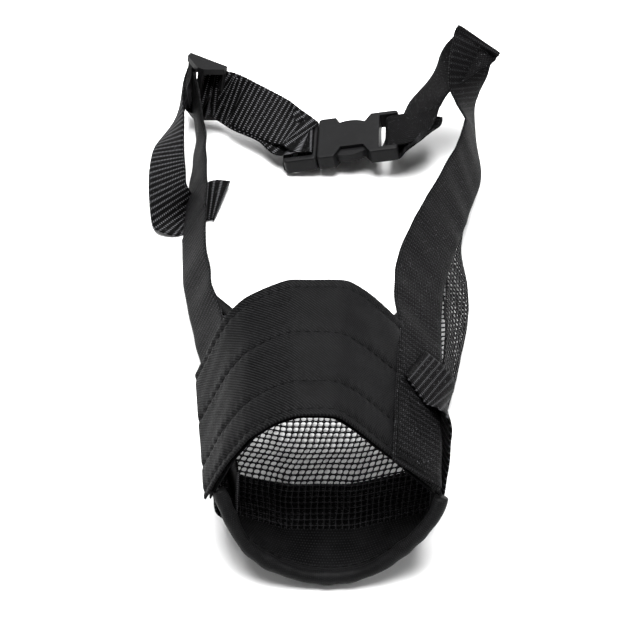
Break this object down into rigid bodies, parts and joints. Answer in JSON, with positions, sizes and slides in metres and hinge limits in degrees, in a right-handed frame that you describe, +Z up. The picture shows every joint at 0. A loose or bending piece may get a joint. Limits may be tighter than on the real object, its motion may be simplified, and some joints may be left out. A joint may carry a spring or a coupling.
{
  "type": "soft dog muzzle",
  "caption": "Soft snout muzzle with an arched nose band, a mesh chin bag with a bound lip, and webbing neck straps closed by a squeeze buckle and adjusted by a slider.",
  "frame": {"origin": "middle of the chin strap's flat underside, where the muzzle rests on a table", "axes": "+Z up, +Y back along the snout towards the neck straps, +X across the snout"},
  "size_m": [0.1819, 0.2966, 0.0785],
  "materials": {
    "twill": "black polyester twill, slight sheen",
    "foam": "black foam interlining, matt",
    "lining": "black smooth woven lining",
    "thread": "black polyester thread",
    "mesh": "open knitted mesh, satin",
    "fine_weave": "fine plain weave, matt",
    "binding": "rolled woven tape, satin",
    "webbing": "ribbed nylon webbing, satin ribs",
    "moulded_plastic": "fine-textured moulded acetal"
  },
  "bodies": {
    "muzzle": {"nose_band": "twill", "nose_band_interlining": "foam", "nose_band_lining": "lining", "nose_band_front_threads": "thread", "nose_band_back_threads": "thread", "chin_mesh": "mesh", "chin_front_band": "fine_weave", "lip_binding": "binding", "throat_binding": "binding", "chin_strap": "webbing", "right_webbing": "webbing", "right_webbing_tacks": "thread", "neck_loop_stitching": "thread", "left_side_webbing": "webbing", "buckle_housing": "moulded_plastic"},
    "left_strap": {"left_neck_webbing": "webbing", "buckle_plug": "moulded_plastic"},
    "slider": {"strap_slider": "moulded_plastic", "left_main_webbing": "webbing", "webbing_tail": "webbing"},
    "latch_front": {"latch_arm_front": "moulded_plastic"},
    "latch_rear": {"latch_arm_rear": "moulded_plastic"}
  },
  "joints": [
    {"name": "buckle_release", "type": "slide", "parent": "muzzle", "child": "left_strap", "axis": [-0.9805, 0.0371, -0.1928], "range_m": [0, 0.028], "deforming": ["latch_arm_front", "latch_arm_rear"]},
    {"name": "latch_front_press", "type": "hinge", "parent": "left_strap", "child": "latch_front", "pos_m": [0.0005, 0.21011, 0.00895], "axis": [-0.1908, 0.0514, 0.9803], "range_deg": [0, 9], "stiffness_Nm_per_rad": 0.5},
    {"name": "latch_rear_press", "type": "hinge", "parent": "left_strap", "child": "latch_rear", "pos_m": [0.00151, 0.23187, 0.008], "axis": [0.1908, -0.0514, -0.9803], "range_deg": [0, 9], "stiffness_Nm_per_rad": 0.5},
    {"name": "slider_adjust", "type": "slide", "parent": "left_strap", "child": "slider", "axis": [0.905, -0.412, -0.106], "range_m": [0, 0.015]}
  ]
}
